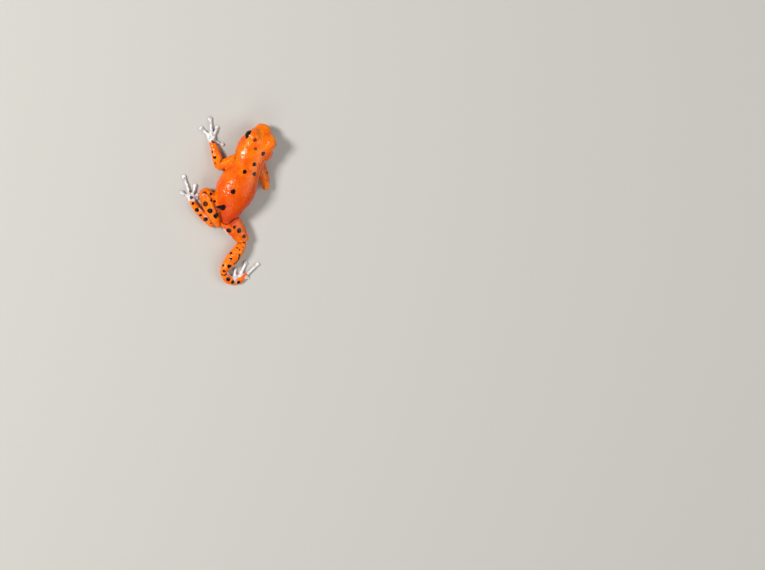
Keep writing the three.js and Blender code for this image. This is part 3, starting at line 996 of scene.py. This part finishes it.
def buildSkin():
    # The forms are wrapped, folded and refined, the face and the grain are shaped, and the paint is laid
    mesh = wrapForms(buildForms())
    net = Net(mesh)
    print("net", len(net.points), "points")
    net.settle(skinNet["settle"])
    net.fillCreases(skinNet["fillRounds"], joinWeights(net.points))
    net.settle(1)
    net.points -= net.normals() * (folds["depth"] * foldField(net))[:, None]
    net.settle(1)
    net.store()
    refineHead(mesh)
    net = Net(mesh)
    net.settle(1)
    openLids(net.points)
    shapeFace(net)
    loosenSkin(net)
    tree = BVHTree.FromPolygons(net.points.tolist(), net.triangles.tolist())
    paleAndHighlight = paleAndHighlightField(net.points, tree)
    # painted shade for the folds, the hollows and the eyes' edges
    foldAndPaintedShade = foldShade(net)
    grainSkin(net, paleAndHighlight)
    net.points[:, 2] = np.maximum(net.points[:, 2], 0)
    spotAndCreaseShade, strength = spotField(net, tree)
    paint = {"spotAndCreaseShade": spotAndCreaseShade, "spotStrength": strength, "paleAndHighlight": paleAndHighlight, "foldAndPaintedShade": foldAndPaintedShade}
    paint.update(rear=rearField(net.points), under=underField(net))
    for name, values in paint.items():
        addAttribute(mesh, name, values)
    net.points *= mm
    net.store()
    mesh.shade_smooth()
    print("skin", len(net.triangles), "triangles")
    return addObject("skin", mesh)


def buildEye(side):
    # A ball about the line of sight, with a clear cornea that swells over its middle
    centre, radius = eyePlace(side)
    out, along, lift = eyeAxes(side)
    points, faces = ovalBall(np.zeros(3), (1, 1, 1), *eyes["net"])
    angle = np.degrees(np.arccos(np.clip(points[:, 2], -1, 1)))
    reach = radius * (1 + eyes["corneaUp"] * bell(angle, eyes["corneaHalf"]))
    turned = points @ np.array([along, lift, out])
    placed = centre + turned * reach[:, None]
    eye = newPiece("leftEye" if side > 0 else "rightEye", placed * mm, faces)
    addAttribute(eye.data, "across", points[:, 0])
    addAttribute(eye.data, "over", points[:, 1])
    eye.data.shade_smooth()
    return eye


def linear(hexColour):
    # An sRGB colour as linear light
    parts = [int(hexColour[k : k + 2], 16) / 255 for k in (1, 3, 5)]
    return tuple(p / 12.92 if p <= 0.04045 else ((p + 0.055) / 1.055) ** 2.4 for p in parts) + (1.0,)


def perMetre(millimetres):
    # A pattern scale whose features are this many millimetres apart
    return 1 / (millimetres * mm)


def addNode(tree, kind, output, values=None, **settings):
    # A value that is a socket is linked and any other is set, and the output is what others link to
    node = tree.nodes.new("ShaderNode" + kind)
    for name, value in settings.items():
        setattr(node, name, value)
    for name, value in (values or {}).items():
        if isinstance(value, bpy.types.NodeSocket):
            tree.links.new(value, node.inputs[name])
        else:
            node.inputs[name].default_value = value
    return node.outputs[output]


def newMaterial(name):
    material = bpy.data.materials.new(name)
    material.use_nodes = True
    tree = material.node_tree
    return material, tree, tree.nodes["Principled BSDF"]


# Sizes are in mm
skinFinish = {
    "orange": "#FB8503",
    "deepOrange": "#F06002",
    # the rump's own red orange, also laid as painted shade on the right flank
    "redOrange": "#CE3A02",
    "patch": "#DC4203",
    "belly": "#EE8A3A",
    # pale skin of the hands and feet, also laid as painted highlights on the left leg
    "paleAndHighlight": "#EBE7E4",
    "paleShade": "#B9B2B6",
    # painted shade in the folds and hollows
    "foldAndPaintedShade": "#5A1203",
    # the black spots, and painted shade in the creases of the rump and the left knee
    "spotAndCreaseShade": "#150A08",
    # Noise: its size and detail, the values between which it rises, and what it gives below and above them
    "clouds": {
        "mottle": (1.6, 3, 0.35, 0.7, 0.0, 1.0),
        "patches": (1.1, 4, 0.55, 0.75, 0.0, 0.45),
        "shades": (0.7, 3, 0.42, 0.62, 0.0, 1.0),
        "roughness": (0.6, 3, 0.3, 0.7, 0.15, 0.25),
    },
    # Noise also cuts bays into a painted edge: their size, detail and depth, and where the edge rises
    "edges": {"paleAndHighlight": (0.5, 3, 0.4, 0.45, 0.95), "spotAndCreaseShade": (0.5, 3, 0.34, 0.12, 0.22)},
    "shares": {"under": 0.6, "foldAndPaintedShade": 0.8},  # of these fields at their fullest
    "grain": 0.3,  # between the finest bumps, which are coarser than life so that they show
    "grainUp": 0.034,
    "grainTop": 0.7,  # in shares of grain, from a bump's top to its foot
    "paleGrain": 0.4,  # the share of the bumps' height that is left on pale skin
    "ior": 1.33,  # of the film of water on it
    "subsurface": 0.1,
    "subsurfaceRadius": (1.0, 0.35, 0.15),  # red, green and blue, as shares of the depth
    "subsurfaceDepth": 0.4,
}


def frogSkin():
    # Living frog skin: thin, moist and finely granular, so that its sheen breaks into small soft lights
    look = skinFinish
    material, tree, shader = newMaterial("moistFrogSkin")
    place = addNode(tree, "TexCoord", "Object")
    names = ("spotAndCreaseShade", "spotStrength", "paleAndHighlight", "rear", "under", "foldAndPaintedShade")
    share = {name: addNode(tree, "Attribute", "Fac", attribute_name=name) for name in names}
    for name, (size, detail, low, high, least, most) in look["clouds"].items():
        values = {"Vector": place, "Scale": perMetre(size), "Detail": detail}
        values = {"Value": addNode(tree, "TexNoise", "Fac", values), "From Min": low, "From Max": high}
        values.update({"To Min": least, "To Max": most})
        share[name] = addNode(tree, "MapRange", "Result", values, interpolation_type="SMOOTHSTEP")
    for name, (size, detail, depth, low, high) in look["edges"].items():
        values = {"Vector": place, "Scale": perMetre(size), "Detail": detail}
        values = {0: addNode(tree, "TexNoise", "Fac", values), 1: depth}
        values = {0: share[name], 1: addNode(tree, "Math", "Value", values, operation="MULTIPLY")}
        pushed = addNode(tree, "Math", "Value", values, operation="ADD")
        values = {"Value": pushed, "From Min": low, "From Max": high}
        share[name] = addNode(tree, "MapRange", "Result", values, interpolation_type="SMOOTHSTEP")
    for name, most in {**look["shares"], "spotAndCreaseShade": share["spotStrength"]}.items():
        share[name] = addNode(tree, "Math", "Value", {0: share[name], 1: most}, operation="MULTIPLY")

    # Each layer of colour lies over those before it, by its share
    values = {0: share["shades"], 6: linear(look["paleAndHighlight"]), 7: linear(look["paleShade"])}
    layers = {
        "mottle": linear(look["deepOrange"]),
        # red orange of the rump, and painted shade on the right flank
        "rear": linear(look["redOrange"]),
        "patches": linear(look["patch"]),
        "under": linear(look["belly"]),
        # pale skin, and painted highlights on the left leg
        "paleAndHighlight": addNode(tree, "Mix", 2, values, data_type="RGBA"),
        # painted shade over the folds and hollows
        "foldAndPaintedShade": linear(look["foldAndPaintedShade"]),
        "spotAndCreaseShade": linear(look["spotAndCreaseShade"]),
    }
    colour = linear(look["orange"])
    for name, layer in layers.items():
        colour = addNode(tree, "Mix", 2, {0: share[name], 6: colour, 7: layer}, data_type="RGBA")
    tree.links.new(colour, shader.inputs["Base Color"])
    tree.links.new(share["roughness"], shader.inputs["Roughness"])

    values = {"Vector": place, "Scale": perMetre(look["grain"])}
    grain = addNode(tree, "TexVoronoi", "Distance", values, feature="SMOOTH_F1")
    parts = []
    for value, high, least in ((grain, look["grainTop"], 0.0), (share["paleAndHighlight"], 1.0, look["paleGrain"])):
        values = {"Value": value, "From Min": 0.0, "From Max": high, "To Min": 1.0, "To Max": least}
        parts.append(addNode(tree, "MapRange", "Result", values, interpolation_type="SMOOTHSTEP"))
    relief = addNode(tree, "Math", "Value", {0: parts[0], 1: parts[1]}, operation="MULTIPLY")
    values = {"Height": relief, "Distance": look["grainUp"] * mm, "Strength": 1.0}
    tree.links.new(addNode(tree, "Bump", "Normal", values), shader.inputs["Normal"])
    shader.inputs["IOR"].default_value = look["ior"]
    shader.inputs["Subsurface Weight"].default_value = look["subsurface"]
    shader.inputs["Subsurface Radius"].default_value = look["subsurfaceRadius"]
    shader.inputs["Subsurface Scale"].default_value = look["subsurfaceDepth"] * mm
    return material


eyeFinish = {
    "pupil": "#020202",
    "pupilHalf": {"across": 0.5, "over": 0.38},  # as shares of the ball's radius
    "pupilEdge": (0.92, 1.08),  # shares of pupilHalf between which it ends
    "iris": "#0D0806",
    "rim": "#160D08",
    "fleck": 0.12,  # mm
    "fleckDetail": 4,
    "roughness": 0.04,
    "ior": 1.376,  # of a cornea
}


def wetEye():
    # A frog's eye: black to dark brown under a wet cornea, which mirrors the lights
    look = eyeFinish
    material, tree, shader = newMaterial("wetEye")
    parts = []
    for name, half in look["pupilHalf"].items():
        values = {0: addNode(tree, "Attribute", "Fac", attribute_name=name), 1: half}
        parts.append(addNode(tree, "Math", "Value", values, operation="DIVIDE"))
    off = addNode(tree, "CombineXYZ", "Vector", {"X": parts[0], "Y": parts[1]})
    reach = addNode(tree, "VectorMath", "Value", {0: off}, operation="LENGTH")
    place = addNode(tree, "TexCoord", "Object")
    values = {"Vector": place, "Scale": perMetre(look["fleck"]), "Detail": look["fleckDetail"]}
    fleck = addNode(tree, "TexNoise", "Fac", values)
    values = {0: fleck, 6: linear(look["iris"]), 7: linear(look["rim"])}
    iris = addNode(tree, "Mix", 2, values, data_type="RGBA")
    low, high = look["pupilEdge"]
    outside = addNode(tree, "MapRange", "Result", {"Value": reach, "From Min": low, "From Max": high})
    colour = addNode(tree, "Mix", 2, {0: outside, 6: linear(look["pupil"]), 7: iris}, data_type="RGBA")
    tree.links.new(colour, shader.inputs["Base Color"])
    shader.inputs["Roughness"].default_value = look["roughness"]
    shader.inputs["IOR"].default_value = look["ior"]
    return material


def wear(piece, material):
    # The frog has no joints, so every piece rides the body root
    piece.data.materials.clear()
    piece.data.materials.append(material)
    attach(piece, "root")


skin = buildSkin()
wear(skin, frogSkin())
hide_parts(*[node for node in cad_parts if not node.endswith("_eye")])
eyeMaterial = wetEye()
for side, node in ((1, "left_eye"), (-1, "right_eye")):
    eye = buildEye(side)
    wear(eye, eyeMaterial)
    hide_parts(node)
print("frog dressed")

studio = {
    "floor": "#C6C3BC",
    "floorHalf": 0.6,  # m
    "floorRoughness": 0.9,
    "world": 0.18,  # light from all round
    "backdrop": 0.6,  # what the camera sees behind the floor
    "lights": {
        # place in m, size in m, power in W
        "key": ((0.43, 0.04, 0.37), 0.11, 3.3),
        "fill": ((-0.38, -0.12, 0.38), 0.4, 1.15),
        "back": ((0.0, 0.45, 0.35), 0.3, 0.6),
    },
}


def setStudio():
    # Uncoated paper, which shows soft shadows and no mirror image, under an even white sky and three soft
    # lights, of which the strongest is at the frog's left
    half = studio["floorHalf"]
    corners = [(-half, -half, 0), (half, -half, 0), (half, half, 0), (-half, half, 0)]
    floor = newPiece("floor", corners, [(0, 1, 2, 3)])
    material, tree, shader = newMaterial("mattePaper")
    shader.inputs["Base Color"].default_value = linear(studio["floor"])
    shader.inputs["Roughness"].default_value = studio["floorRoughness"]
    floor.data.materials.append(material)
    world = bpy.data.worlds.new("studio")
    world.use_nodes = True
    sky = world.node_tree
    seen = addNode(sky, "LightPath", "Is Camera Ray")
    strength = addNode(sky, "Mix", 0, {0: seen, 2: studio["world"], 3: studio["backdrop"]})
    sky.nodes["Background"].inputs["Color"].default_value = (1, 1, 1, 1)
    sky.links.new(strength, sky.nodes["Background"].inputs["Strength"])
    bpy.context.scene.world = world
    for name, (place, size, power) in studio["lights"].items():
        data = bpy.data.lights.new(name, "AREA")
        data.size = size
        data.energy = power
        light = addObject(name, data)
        light.location = place
        light.rotation_mode = "QUATERNION"
        light.rotation_quaternion = Vector(place).to_track_quat("Z", "Y")


setStudio()
bpy.context.scene.view_settings.view_transform = "Standard"
print("studio lit")
